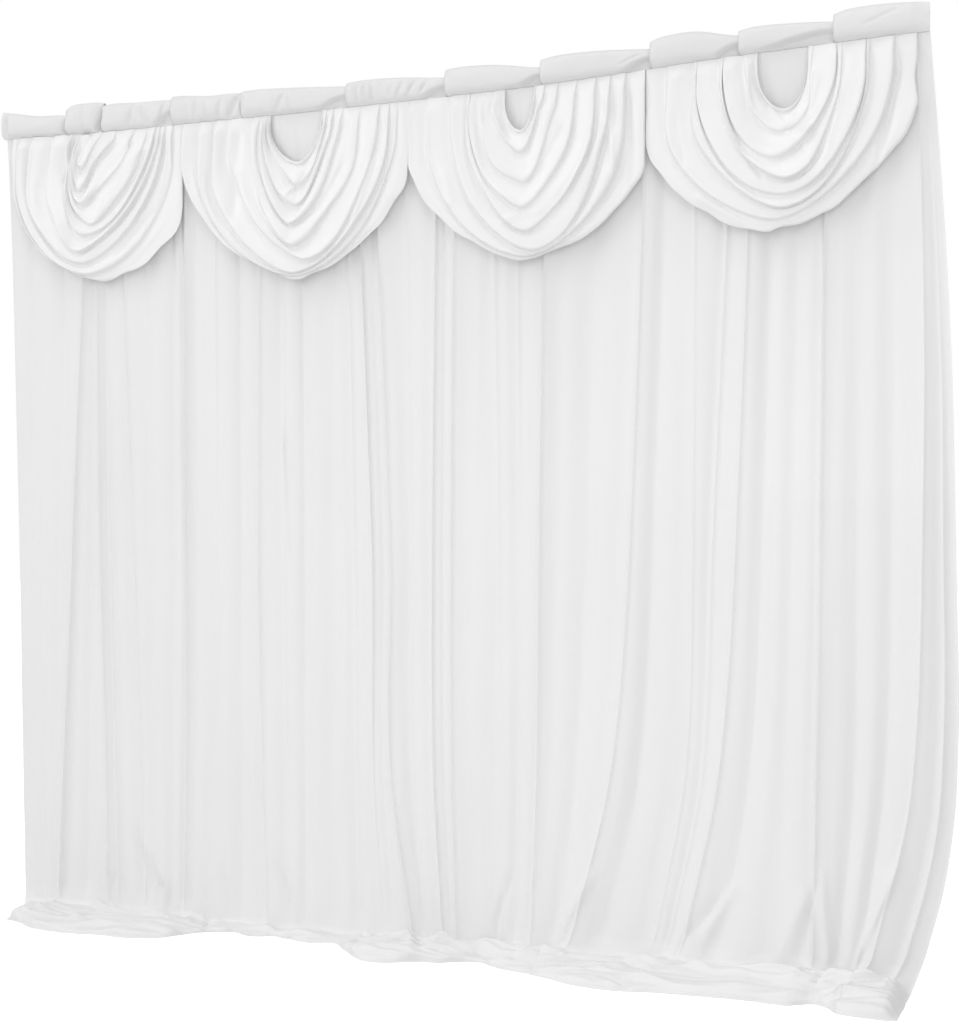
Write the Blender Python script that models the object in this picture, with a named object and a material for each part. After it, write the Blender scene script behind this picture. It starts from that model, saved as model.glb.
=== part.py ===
"""White event backdrop: a gathered panel with a pooled hem, a rod sleeve and four draped swags.

Metres, +Z up, +X to the right as seen from the front, and the front faces -Y.  The origin lies
inside the sleeve at the middle of the width, on the line of the rod that the backdrop hangs from.
Each piece is a thin sheet worked out from a short table, a row for each fold or section.
"""
import math
from typing import NamedTuple

import bpy

# ---- driving sizes -------------------------------------------------------------------------
HALF_WIDTH = 1.500            # the backdrop is 3 m wide along its rod
FLOOR = -2.665                # height of the floor below the rod's line
CLOTH = 0.0020                # thickness of the panel and the swags as solids
SLEEVE_CLOTH = 0.0015         # thickness of the sleeve's wall
SEAM_GAP = 0.0008             # what pieces sewn to each other keep between them
SLEEVE_SEAM_DEPTH = 0.0120    # front to back size of the sleeve along its lower seam

# ---- the panel -----------------------------------------------------------------------------
WAIST = -1.45                 # heights at which the panel's fold table states its folds
KNEE = -2.10
FOOT = -2.56                  # below this the cloth turns forward into the pool
VALLEY_DEPTH = 0.030          # how far behind the sewn line the panel's valleys lie
FOLD_OPENING = 0.55           # drop over which the folds open from the sewn line
SAG_IN_GAPS = 0.008           # the soft swelling halfway between two folds
BILLOW_TOP = -0.60            # the cloth starts to belly out here
BILLOW_FULL = -1.30           # and has done so here
PANEL_LEVELS = (-0.16, -0.42, -0.85, -1.25, -1.65, -2.05, -2.34, -2.50)
WIDEST_FLANK = 0.30           # a fold's flank takes no more than this share of the gap beside it
HEM_LIFT = 0.0016             # middle of the hem's cloth above the floor
FOLD_REACH = 0.5              # how much further a fold reaches in the pool, for its rise
PILE_IN_VALLEY = 0.75         # share of the pile's height between the folds
PILE_ON_FOLD = 12.0           # what a fold adds to that share, for each metre of its rise


class PanelFold(NamedTuple):
    """One standing fold: where it runs, how far it rises, how wide its two flanks are and how far
    the cloth round it bellies out in front below the swags."""

    name: str
    heading: float
    waist: float
    knee: float
    foot: float
    rise: float
    left: float
    right: float
    billow: float


PANEL_FOLDS = (
    #          name            heading   waist    knee    foot    rise    left   right  billow
    PanelFold("left_edge",     -1.484, -1.424, -1.409, -1.402, 0.016, 0.010, 0.040, 0.000),
    PanelFold("lean_left",     -1.172, -1.238, -1.265, -1.290, 0.034, 0.034, 0.014, 0.006),
    PanelFold("inner_left",    -1.138, -1.116, -1.102, -1.092, 0.030, 0.012, 0.030, 0.010),
    PanelFold("soft_left",     -1.080, -1.003, -0.980, -0.965, 0.020, 0.026, 0.030, 0.004),
    PanelFold("first_valley",  -0.812, -0.814, -0.816, -0.820, 0.036, 0.040, 0.022, 0.000),
    PanelFold("under_second",  -0.536, -0.536, -0.520, -0.515, 0.030, 0.024, 0.046, -0.004),
    PanelFold("narrow",        -0.210, -0.192, -0.180, -0.160, 0.024, 0.030, 0.014, -0.004),
    PanelFold("sweep_right",   -0.160, -0.084, -0.050, 0.022, 0.040, 0.020, 0.050, 0.006),
    PanelFold("second_valley", 0.060, 0.014, 0.020, 0.060, 0.022, 0.026, 0.016, 0.000),
    PanelFold("beside_valley", 0.116, 0.113, 0.120, 0.130, 0.036, 0.018, 0.044, 0.000),
    PanelFold("under_third",   0.408, 0.404, 0.396, 0.375, 0.034, 0.040, 0.026, 0.004),
    PanelFold("third_valley",  0.708, 0.660, 0.590, 0.500, 0.046, 0.050, 0.020, 0.012),
    PanelFold("soft_right",    0.852, 0.850, 0.835, 0.790, 0.020, 0.030, 0.036, 0.016),
    PanelFold("long_sweep",    1.016, 0.980, 0.930, 0.842, 0.042, 0.044, 0.022, 0.026),
    PanelFold("under_fourth",  1.222, 1.214, 1.203, 1.195, 0.030, 0.030, 0.030, 0.055),
    PanelFold("end_fold",      1.452, 1.478, 1.452, 1.345, 0.038, 0.040, 0.020, 0.050),
    PanelFold("right_edge",    1.496, 1.562, 1.566, 1.480, 0.014, 0.016, 0.010, 0.030),
)


class PoolStation(NamedTuple):
    """How far the cloth on the floor reaches at one place, how high it piles and where it drifts."""

    x: float
    reach: float
    pile: float
    drift: float


POOL = (
    #           x      reach  pile   drift to the right
    PoolStation(-1.42, 0.150, 0.022, 0.050),
    PoolStation(-1.24, 0.205, 0.038, 0.015),
    PoolStation(-0.98, 0.215, 0.040, 0.000),
    PoolStation(-0.80, 0.195, 0.030, 0.000),
    PoolStation(-0.66, 0.065, 0.016, 0.000),
    PoolStation(-0.46, 0.055, 0.016, 0.000),
    PoolStation(-0.24, 0.065, 0.018, -0.010),
    PoolStation(-0.10, 0.195, 0.050, -0.020),
    PoolStation(0.13, 0.140, 0.040, 0.000),
    PoolStation(0.30, 0.125, 0.032, 0.000),
    PoolStation(0.50, 0.165, 0.036, 0.000),
    PoolStation(0.74, 0.220, 0.046, 0.000),
    PoolStation(1.05, 0.185, 0.040, -0.010),
    PoolStation(1.25, 0.160, 0.048, -0.030),
    PoolStation(1.46, 0.215, 0.070, -0.065),
)
# A column of cloth on its way out over the floor, as share of the reach, share of the pile and
# height above the floor that is left of the standing cloth.
POOL_COURSE = (
    (0.00, 0.00, 0.045),
    (0.14, 0.10, 0.010),
    (0.42, 0.85, 0.000),
    (0.72, 1.00, 0.000),
    (0.95, 0.55, 0.000),
    (1.00, 0.00, 0.000),
)

# ---- the sleeve ----------------------------------------------------------------------------
SEAM_LINE = (
    # x, height of the sleeve's lower seam, where the panel and the swags are sewn on
    (-1.500, -0.067),
    (-1.100, -0.075),
    (-0.400, -0.078),
    (0.200, -0.075),
    (0.600, -0.064),
    (1.000, -0.045),
    (1.500, -0.034),
)
SLEEVE_STEP = 0.010           # length over which one puffed section steps up to the next
SLEEVE_BACK = 0.021           # how far the back ply stands behind the rod's line
SLEEVE_CROWN = 0.003          # how much a section's shoulder rises above a straight line
# The sleeve's front ply above its seam, then its top fold and its back ply, as share of the bulge
# (or of the back ply's depth) and share of the height.
SLEEVE_FRONT = ((0.86, 0.24), (1.00, 0.55), (0.70, 0.88), (0.08, 1.00))
SLEEVE_REAR = ((0.80, 0.86), (1.00, 0.50))
# Fullness of a section at its start, its shoulder, its middle and its end.
SLEEVE_FULLNESS = (0.86, 0.98, 1.00, 0.80)


class SleeveSection(NamedTuple):
    """One puffed stretch of the sleeve between two pinches, left to right."""

    start: float
    top_start: float
    top_middle: float
    top_end: float
    bulge: float


SLEEVE_SECTIONS = (
    #               start  top_start top_middle top_end bulge
    SleeveSection(-1.500, 0.026, 0.002, -0.008, 0.026),
    SleeveSection(-1.240, 0.014, 0.026, 0.020, 0.030),
    SleeveSection(-1.105, 0.012, 0.010, 0.004, 0.024),
    SleeveSection(-0.840, 0.016, 0.006, 0.002, 0.026),
    SleeveSection(-0.590, 0.008, 0.002, -0.012, 0.026),
    SleeveSection(-0.222, -0.002, -0.002, -0.018, 0.025),
    SleeveSection(0.106, 0.006, 0.004, -0.018, 0.030),
    SleeveSection(0.406, 0.004, 0.012, 0.000, 0.030),
    SleeveSection(0.736, 0.022, 0.036, 0.012, 0.031),
    SleeveSection(0.990, 0.024, 0.030, 0.020, 0.028),
    SleeveSection(1.252, 0.040, 0.054, 0.046, 0.032),
)

# ---- the swags -----------------------------------------------------------------------------
SWAG_STANDOFF = 0.0042        # middle of the swags' cloth in front of the rod's plane when sewn
SWAG_BELLY = 0.052            # how far the fullest fold of a swag stands out in front of that
HEM_BELLY = 0.030             # the same for the hem, which lies back towards the panel
INNER_BELLY = 0.034           # the same for the open upper edge
PLEAT_AT_SEAM = 0.35          # share of a fold's swell that it already has at the seam
TUCK = 0.42                   # where between two folds the cloth tucks back furthest
BELLY_ROUNDNESS = 0.8         # how soon below the seam a swag stands out; 1 is a plain sine
FULLEST = 0.45                # where between the upper edge and the hem a swag is fullest
ROUND_INNER = 2.3             # roundness of the U of the upper edge; 2 is an ellipse
ROUND_HEM = 1.55              # roundness of the hem, whose sides run more on the slant
TURN_STEPS = (0.0, 0.22, 0.42, 0.60, 0.78, 1.0)   # places round each side's turn to the bottom


class SwagFold(NamedTuple):
    """One U of cloth: its two ends at the seam, its lowest point and how far it swells."""

    left: float
    right: float
    low_x: float
    low_z: float
    fall_left: float
    fall_right: float
    swell: float


SWAGS = {
    "swag_1": (
        #        left    right   low_x   low_z  fall_l fall_r swell
        SwagFold(-1.216, -1.112, -1.170, -0.215, 0.03, 0.02, 0.012),
        SwagFold(-1.226, -1.040, -1.150, -0.300, 0.05, 0.02, 0.014),
        SwagFold(-1.240, -0.975, -1.124, -0.380, 0.06, 0.03, 0.020),
        SwagFold(-1.284, -0.945, -1.145, -0.422, 0.08, 0.03, 0.015),
        SwagFold(-1.326, -0.918, -1.163, -0.460, 0.10, 0.04, 0.020),
        SwagFold(-1.388, -0.884, -1.147, -0.510, 0.12, 0.06, 0.018),
        SwagFold(-1.436, -0.853, -1.140, -0.546, 0.14, 0.10, 0.016),
        SwagFold(-1.462, -0.818, -1.098, -0.570, 0.17, 0.30, 0.004),
    ),
    "swag_2": (
        SwagFold(-0.498, -0.316, -0.392, -0.238, 0.04, 0.04, 0.012),
        SwagFold(-0.512, -0.296, -0.388, -0.290, 0.05, 0.05, 0.013),
        SwagFold(-0.526, -0.272, -0.394, -0.368, 0.06, 0.05, 0.016),
        SwagFold(-0.545, -0.240, -0.398, -0.446, 0.08, 0.05, 0.018),
        SwagFold(-0.580, -0.188, -0.388, -0.502, 0.08, 0.05, 0.019),
        SwagFold(-0.630, -0.124, -0.374, -0.548, 0.10, 0.06, 0.020),
        SwagFold(-0.700, -0.080, -0.398, -0.580, 0.14, 0.12, 0.016),
        SwagFold(-0.808, -0.024, -0.394, -0.601, 0.12, 0.21, 0.004),
    ),
    "swag_3": (
        SwagFold(0.285, 0.378, 0.336, -0.205, 0.03, 0.03, 0.012),
        SwagFold(0.262, 0.406, 0.334, -0.262, 0.05, 0.04, 0.014),
        SwagFold(0.238, 0.440, 0.340, -0.350, 0.06, 0.05, 0.018),
        SwagFold(0.200, 0.500, 0.346, -0.436, 0.07, 0.06, 0.020),
        SwagFold(0.168, 0.545, 0.380, -0.496, 0.08, 0.08, 0.019),
        SwagFold(0.125, 0.578, 0.376, -0.540, 0.10, 0.12, 0.018),
        SwagFold(0.060, 0.640, 0.372, -0.572, 0.13, 0.18, 0.016),
        SwagFold(-0.018, 0.710, 0.342, -0.588, 0.17, 0.22, 0.004),
    ),
    "swag_4": (
        SwagFold(1.034, 1.176, 1.114, -0.216, 0.04, 0.04, 0.013),
        SwagFold(1.000, 1.206, 1.104, -0.268, 0.05, 0.05, 0.014),
        SwagFold(0.966, 1.238, 1.094, -0.336, 0.07, 0.06, 0.018),
        SwagFold(0.928, 1.276, 1.102, -0.412, 0.08, 0.08, 0.019),
        SwagFold(0.892, 1.305, 1.100, -0.452, 0.09, 0.09, 0.015),
        SwagFold(0.856, 1.336, 1.090, -0.490, 0.10, 0.10, 0.017),
        SwagFold(0.780, 1.402, 1.070, -0.522, 0.14, 0.12, 0.016),
        SwagFold(0.718, 1.466, 1.077, -0.550, 0.19, 0.17, 0.004),
    ),
}

# ---- finishes ------------------------------------------------------------------------------
KNIT_COLOUR = (0.80, 0.80, 0.80, 1.0)
SATIN_COLOUR = (0.86, 0.86, 0.86, 1.0)


def clear_scene() -> None:
    """Remove whatever the file holds before the model is made."""
    for thing in list(bpy.data.objects):
        bpy.data.objects.remove(thing, do_unlink=True)


def make_fabric(name: str, colour: tuple, roughness: float) -> bpy.types.Material:
    """Return a plain cloth finish."""
    material = bpy.data.materials.new(name)
    material.use_nodes = True
    shader = material.node_tree.nodes["Principled BSDF"]
    shader.inputs["Base Color"].default_value = colour
    shader.inputs["Roughness"].default_value = roughness
    shader.inputs["Metallic"].default_value = 0.0
    return material


def smooth_course(knots: tuple, at: float) -> float:
    """Read a smooth curve through (place, value) knots, whose places rise."""
    if at <= knots[0][0]:
        return knots[0][1]
    if at >= knots[-1][0]:
        return knots[-1][1]
    slopes = []
    for i in range(len(knots)):
        before = knots[max(i - 1, 0)]
        after = knots[min(i + 1, len(knots) - 1)]
        slopes.append((after[1] - before[1]) / (after[0] - before[0]))
    i = next(n for n in range(len(knots) - 1) if at <= knots[n + 1][0])
    span = knots[i + 1][0] - knots[i][0]
    t = (at - knots[i][0]) / span
    return ((2 * t ** 3 - 3 * t ** 2 + 1) * knots[i][1] + (t ** 3 - 2 * t ** 2 + t) * span * slopes[i]
            + (3 * t ** 2 - 2 * t ** 3) * knots[i + 1][1] + (t ** 3 - t ** 2) * span * slopes[i + 1])


def flank(distance: float, width: float) -> float:
    """Return 1 on a fold's crest, falling smoothly to 0 at its flank's foot."""
    return 0.5 * (1 + math.cos(math.pi * min(distance / width, 1.0)))


def sheet_object(name: str, rows: list, thickness: float, side: float, ring: bool,
                 material: bpy.types.Material) -> bpy.types.Object:
    """Make a closed sheet of cloth from rows of points.

    side is the Solidify offset: 0 thickens both ways and -1 inwards.  A ring joins the ends of
    each row, and only the first and last rows are open edges then.
    """
    across = len(rows[0])
    points = [point for row in rows for point in row]
    faces = []
    for r in range(len(rows) - 1):
        for c in range(across if ring else across - 1):
            d = (c + 1) % across
            faces.append((r * across + c, (r + 1) * across + c, (r + 1) * across + d, r * across + d))
    mesh = bpy.data.meshes.new(name)
    mesh.from_pydata(points, [], faces)
    mesh.materials.append(material)
    sheet = bpy.data.objects.new(name, mesh)
    bpy.context.scene.collection.objects.link(sheet)
    wall = sheet.modifiers.new("cloth", "SOLIDIFY")
    wall.thickness = thickness
    wall.offset = side
    mesh.shade_smooth()
    return sheet


# ---- the panel -----------------------------------------------------------------------------
def fold_place(fold: PanelFold, z: float) -> float:
    """Return where a fold stands across the width at height z."""
    course = ((FOOT, fold.foot), (KNEE, fold.knee), (WAIST, fold.waist), (0.0, fold.heading))
    return smooth_course(course, z)


def panel_columns() -> list:
    """Return the panel's columns as (fold before, share of the way to the next fold, crest)."""
    columns = []
    for i in range(len(PANEL_FOLDS) - 1):
        here = PANEL_FOLDS[i]
        after = PANEL_FOLDS[i + 1]
        gap = after.waist - here.waist
        right = min(here.right / gap, WIDEST_FLANK)
        left = min(after.left / gap, WIDEST_FLANK)
        for share in (0.0, 0.5 * right, right, 1.0 - left, 1.0 - 0.5 * left):
            crest = here.rise * flank(share, right) + after.rise * flank(1.0 - share, left)
            columns.append((i, share, crest + SAG_IN_GAPS * math.sin(math.pi * share) ** 2))
    columns.append((len(PANEL_FOLDS) - 2, 1.0, PANEL_FOLDS[-1].rise))
    return columns


def panel_point(column: tuple, z: float) -> tuple:
    """Return where a column of the panel stands at height z, above the pool."""
    i, share, crest = column
    x = (1 - share) * fold_place(PANEL_FOLDS[i], z) + share * fold_place(PANEL_FOLDS[i + 1], z)
    seam = smooth_course(SEAM_LINE, x)
    opened = math.sin(0.5 * math.pi * min((seam - z) / FOLD_OPENING, 1.0))
    bellied = smooth_course(((BILLOW_FULL, 1.0), (BILLOW_TOP, 0.0)), z)
    billow = (1 - share) * PANEL_FOLDS[i].billow + share * PANEL_FOLDS[i + 1].billow
    return (x, opened * (VALLEY_DEPTH - crest) - bellied * billow, z)


def pool_point(column: tuple, step: tuple) -> tuple:
    """Return where a column of the panel lies in the pool at one step of its course."""
    x, back, _ = panel_point(column, FOOT)
    reach, pile, drift = (smooth_course(tuple((p.x, p[i]) for p in POOL), x) for i in (1, 2, 3))
    along, up, standing = step
    reach += FOLD_REACH * column[2]
    lift = pile * up * (PILE_IN_VALLEY + PILE_ON_FOLD * column[2]) + standing + HEM_LIFT
    return (x + drift * along, back * (1 - along) - reach * along, FLOOR + lift)


def build_panel(material: bpy.types.Material) -> None:
    """Make the panel: one sheet from the sewn line down its folds and out over the floor."""
    columns = panel_columns()
    heading = [panel_point(column, 0.0)[0] for column in columns]
    rows = [[(x, 0.0, smooth_course(SEAM_LINE, x) - SEAM_GAP) for x in heading]]
    rows += [[panel_point(column, z) for column in columns] for z in PANEL_LEVELS]
    rows += [[pool_point(column, step) for column in columns] for step in POOL_COURSE]
    sheet_object("backdrop_panel", rows, CLOTH, 0.0, False, material)


# ---- the sleeve ----------------------------------------------------------------------------
def sleeve_ring(x: float, top: float, bulge: float) -> list:
    """Return the sleeve's outline at x, from its seam up the front, over and down the back."""
    seam = smooth_course(SEAM_LINE, x)
    height = top - seam
    half_seam = 0.5 * SLEEVE_SEAM_DEPTH
    front = [(x, -out * bulge, seam + up * height) for out, up in SLEEVE_FRONT]
    rear = [(x, out * SLEEVE_BACK, seam + up * height) for out, up in SLEEVE_REAR]
    return [(x, -half_seam, seam)] + front + rear + [(x, half_seam, seam)]


def build_sleeve(material: bpy.types.Material) -> None:
    """Make the rod sleeve: one open-ended tube of puffed sections between pinches."""
    rows = []
    ends = [section.start - SLEEVE_STEP for section in SLEEVE_SECTIONS[1:]] + [HALF_WIDTH]
    for section, end in zip(SLEEVE_SECTIONS, ends):
        middle = 0.5 * (section.start + end)
        shoulder = 0.5 * (section.top_start + section.top_middle) + SLEEVE_CROWN
        places = (section.start, 0.5 * (section.start + middle), middle, end)
        tops = (section.top_start, shoulder, section.top_middle, section.top_end)
        for x, top, fullness in zip(places, tops, SLEEVE_FULLNESS):
            rows.append(sleeve_ring(x, top, section.bulge * fullness))
    sheet_object("heading_sleeve", rows, SLEEVE_CLOTH, -1.0, True, material)


# ---- the swags -----------------------------------------------------------------------------
def blend_folds(a: SwagFold, b: SwagFold, share: float) -> SwagFold:
    """Return the U that lies between two folds."""
    return SwagFold(*((1 - share) * m + share * n for m, n in zip(a, b)))


def swag_point(fold: SwagFold, end: float, fall: float, turned: float, roundness: float,
               belly: float, swell: float) -> tuple:
    """Return one point of a U of cloth on the side of its given end.

    The cloth falls straight from the seam and then turns; turned is 0 where the turn starts and 1
    at the lowest point, and below 0 the point is on the seam.
    """
    seam = smooth_course(SEAM_LINE, end) - SEAM_GAP
    corner = seam - fall
    angle = 0.5 * math.pi * max(turned, 0.0)
    x = fold.low_x + (end - fold.low_x) * math.cos(angle) ** (2 / roundness)
    z = corner + (fold.low_z - corner) * math.sin(angle) ** (2 / roundness)
    if turned < 0.0:
        z = seam
    dropped = min((seam - z) / (seam - fold.low_z), 1.0)
    out = belly * math.sin(0.5 * math.pi * dropped) ** BELLY_ROUNDNESS
    out += swell * (PLEAT_AT_SEAM + (1 - PLEAT_AT_SEAM) * dropped)
    return (x, -SWAG_STANDOFF - out, z)


def build_swag(name: str, folds: tuple, material: bpy.types.Material) -> None:
    """Make one swag: a sheet whose rows are nested U's, crest and tuck by turns."""
    lines = []
    for i, fold in enumerate(folds):
        lines.append((i, fold, fold.swell))
        if i < len(folds) - 1:
            lines.append((i + TUCK, blend_folds(fold, folds[i + 1], TUCK), 0.0))
    rows = []
    turns = (-1.0,) + TURN_STEPS
    for place, fold, swell in lines:
        share = place / (len(folds) - 1)
        belly = smooth_course(((0.0, INNER_BELLY), (FULLEST, SWAG_BELLY), (1.0, HEM_BELLY)), share)
        shape = (ROUND_INNER + (ROUND_HEM - ROUND_INNER) * share, belly, swell)
        left = [swag_point(fold, fold.left, fold.fall_left, turn, *shape) for turn in turns]
        right = [swag_point(fold, fold.right, fold.fall_right, turn, *shape) for turn in turns[:-1]]
        rows.append(left + right[::-1])
    sheet_object(name, rows, CLOTH, 0.0, False, material)


def main() -> None:
    """Build the whole backdrop."""
    clear_scene()
    knit = make_fabric("ice_silk_knit", KNIT_COLOUR, 0.62)
    satin = make_fabric("soft_satin", SATIN_COLOUR, 0.38)
    build_panel(knit)
    build_sleeve(knit)
    for name, folds in SWAGS.items():
        build_swag(name, folds, satin)


main()
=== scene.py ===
"""Looks of a white event backdrop: a gathered panel with a pooled hem, a rod sleeve and four swags.

Metres, +Z up, +X to the right as seen from the front, and the front faces -Y.  The origin lies
inside the sleeve at the middle of the width, on the line of the rod that the backdrop hangs from.
Every piece is a sheet of cloth, shaped from short tables with a row for each fold or section.
"""
import logging
import math
from dataclasses import dataclass
from enum import Enum
from typing import NamedTuple

import bpy
import numpy as np
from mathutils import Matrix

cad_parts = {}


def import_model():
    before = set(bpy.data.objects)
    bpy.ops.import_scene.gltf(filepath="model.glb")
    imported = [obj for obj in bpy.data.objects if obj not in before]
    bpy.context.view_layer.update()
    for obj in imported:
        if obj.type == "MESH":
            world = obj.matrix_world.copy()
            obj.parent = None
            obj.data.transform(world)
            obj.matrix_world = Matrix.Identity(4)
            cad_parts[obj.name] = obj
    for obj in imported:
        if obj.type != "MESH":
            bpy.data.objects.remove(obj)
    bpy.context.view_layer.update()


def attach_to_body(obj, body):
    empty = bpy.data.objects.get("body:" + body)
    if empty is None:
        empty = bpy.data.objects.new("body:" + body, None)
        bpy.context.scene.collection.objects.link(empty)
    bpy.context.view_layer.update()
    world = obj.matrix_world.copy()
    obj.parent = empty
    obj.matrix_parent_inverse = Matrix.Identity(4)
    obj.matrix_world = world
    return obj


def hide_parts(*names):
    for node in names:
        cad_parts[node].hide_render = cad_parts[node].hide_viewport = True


LOG = logging.getLogger("backdrop")

# ---- sizes shared by the pieces ------------------------------------------------------------
HALF_WIDTH = 1.500            # the backdrop is 3 m wide along its rod
FLOOR = -2.665                # height of the floor below the rod's line
SEAM_GAP = 0.0008             # what pieces sewn to each other keep between them
SEAM_LINE = (
    # x, height of the sleeve's lower seam, where the panel and the swags are sewn on
    (-1.500, -0.067),
    (-1.100, -0.075),
    (-0.400, -0.078),
    (0.200, -0.075),
    (0.600, -0.064),
    (1.000, -0.045),
    (1.500, -0.034),
)


class Hold(Enum):
    """How a sheet of cloth is held."""

    GATHERED = "gathered"
    DRAPED = "draped"


class Slot(Enum):
    """The material slots, one for each kind of cloth."""

    KNIT = "knit"
    SATIN = "satin"


# ---- curves and noise ----------------------------------------------------------------------
Places = float | np.ndarray   # one place on a cloth, or an array of them
LATTICE = 64                  # grains of noise before it repeats


def rows(kind: type, table: tuple) -> tuple:
    """Make one named row of a kind from each plain row of a table."""
    return tuple(kind(*row) for row in table)


def smooth_course(knots: tuple | list | np.ndarray, at: Places) -> np.ndarray:
    """Read smooth curves through knots at every place asked for.

    Args:
        knots: rows of a place followed by one or more values, with places that rise.
        at: the places, an array of any shape; outside the knots the end values hold.

    Returns:
        An array shaped as at, with one more axis when a knot has several values.
    """
    table = np.asarray(knots, float)
    places, values = table[:, 0], table[:, 1:]
    order = np.arange(len(places))
    before = np.maximum(order - 1, 0)
    after = np.minimum(order + 1, len(places) - 1)
    slopes = (values[after] - values[before]) / (places[after] - places[before])[:, None]
    at = np.clip(np.asarray(at, float), places[0], places[-1])
    i = np.clip(np.searchsorted(places, at, side="right") - 1, 0, len(places) - 2)
    span = (places[i + 1] - places[i])[..., None]
    t = (at[..., None] - places[i][..., None]) / span
    course = ((2 * t ** 3 - 3 * t ** 2 + 1) * values[i] + (t ** 3 - 2 * t ** 2 + t) * span * slopes[i]
              + (3 * t ** 2 - 2 * t ** 3) * values[i + 1] + (t ** 3 - t ** 2) * span * slopes[i + 1])
    return course[..., 0] if values.shape[1] == 1 else course


def smooth_step(low: float, high: float, at: Places) -> np.ndarray:
    """Return 0 below low, 1 above high and a soft rise between them."""
    t = np.clip((np.asarray(at, float) - low) / (high - low), 0.0, 1.0)
    return t * t * (3 - 2 * t)


def eased(course: np.ndarray, reach: int) -> np.ndarray:
    """Round the corners of rows of values, leaving their ends where they are.

    Args:
        course: rows of values.
        reach: how many columns each value is evened over, on either side.

    Returns:
        The rounded rows.
    """
    weights = np.cos(np.linspace(-1, 1, 2 * reach + 3)[1:-1] * 0.5 * np.pi) ** 2
    weights /= weights.sum()
    wide = np.pad(course, ((0, 0), (reach, reach)), mode="edge")
    even = sum(w * wide[:, i:i + course.shape[1]] for i, w in enumerate(weights))
    side = np.arange(course.shape[1])
    inside = np.clip(np.minimum(side, side[::-1]) / (2.0 * reach), 0, 1)
    return course + (even - course) * inside


def flank(distance: Places, width: Places, crisp: float = 0.0) -> np.ndarray:
    """Return 1 on a fold's crest, falling to 0 at the foot of its flank.

    Args:
        distance: how far from the crest.
        width: the flank's width.
        crisp: 0 for a round crest and 1 for a creased one.

    Returns:
        The share of the fold's rise at that distance.
    """
    t = np.clip(distance / width, 0.0, 1.0)
    return crisp * (1 - t) ** 2.2 + (1 - crisp) * 0.5 * (1 + np.cos(np.pi * t))


def seam_height(x: Places) -> np.ndarray:
    """Return the height of the sleeve's lower seam at x."""
    return smooth_course(SEAM_LINE, x)


class ClothNoise:
    """Seeded smooth noise over two directions of a cloth."""

    def __init__(self, seed: int) -> None:
        """Draw the noise's lattice of slopes."""
        turns = np.random.default_rng(seed).uniform(0, 2 * np.pi, (LATTICE, LATTICE))
        self.slopes = np.stack((np.cos(turns), np.sin(turns)), axis=-1)

    def at(self, u: Places, v: Places) -> np.ndarray:
        """Read the noise.

        Args:
            u: places along the lattice, in grains.
            v: places across it, in grains.

        Returns:
            Noise of about -1 to 1 at each place.
        """
        u, v = np.broadcast_arrays(np.asarray(u, float), np.asarray(v, float))
        i, j = np.floor(u).astype(int), np.floor(v).astype(int)
        fu, fv = u - i, v - j
        total = np.zeros(u.shape)
        for a in (0, 1):
            for b in (0, 1):
                slope = self.slopes[(i + a) % LATTICE, (j + b) % LATTICE]
                push = slope[..., 0] * (fu - a) + slope[..., 1] * (fv - b)
                fade_u = smooth_step(0, 1, 1 - np.abs(fu - a))
                fade_v = smooth_step(0, 1, 1 - np.abs(fv - b))
                total += push * fade_u * fade_v
        return 1.5 * total

    def ridges(self, u: Places, v: Places) -> np.ndarray:
        """Return soft crests of 0 to 1 that wander over the lattice."""
        return (1 - np.clip(np.abs(self.at(u, v)) * 1.6, 0, 1)) ** 2


# ---- meshes --------------------------------------------------------------------------------
def cloth_object(name: str, points: np.ndarray) -> bpy.types.Object:
    """Make a sheet of cloth from rows of points, top row first.

    Args:
        name: the object's name.
        points: an array of rows, columns and three coordinates.

    Returns:
        The object, smooth, with a UV map in metres of cloth.
    """
    rows, columns = points.shape[:2]
    bpy.ops.object.select_all(action="DESELECT")
    bpy.ops.mesh.primitive_grid_add(x_subdivisions=columns - 1, y_subdivisions=rows - 1, size=1.0)
    cloth = bpy.context.object
    cloth.name = cloth.data.name = name
    mesh = cloth.data
    if len(mesh.vertices) != rows * columns:
        raise ValueError(f"{name}: {len(mesh.vertices)} vertices for {rows} rows of {columns}")
    mesh.vertices.foreach_set("co", points[::-1].reshape(-1).astype(np.float32))
    across = np.linalg.norm(np.diff(points, axis=1), axis=2).mean(axis=0)
    down = np.linalg.norm(np.diff(points, axis=0), axis=2).mean(axis=1)
    u = np.concatenate(([0.0], np.cumsum(across)))
    v = -np.concatenate(([0.0], np.cumsum(down)))[::-1]
    corner = np.zeros(len(mesh.loops), int)
    mesh.loops.foreach_get("vertex_index", corner)
    flat = np.stack((u[corner % columns], v[corner // columns]), axis=1)
    mesh.uv_layers[0].name = "cloth"
    mesh.uv_layers["cloth"].data.foreach_set("uv", flat.reshape(-1).astype(np.float32))
    mesh.shade_smooth()
    mesh.update()
    cloth.select_set(False)
    return cloth


class Crease(NamedTuple):
    """A soft ridge between two places of a hanging cloth, or a trough where its height is negative."""

    x_start: float
    z_start: float
    x_end: float
    z_end: float
    width: float
    height: float


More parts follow.
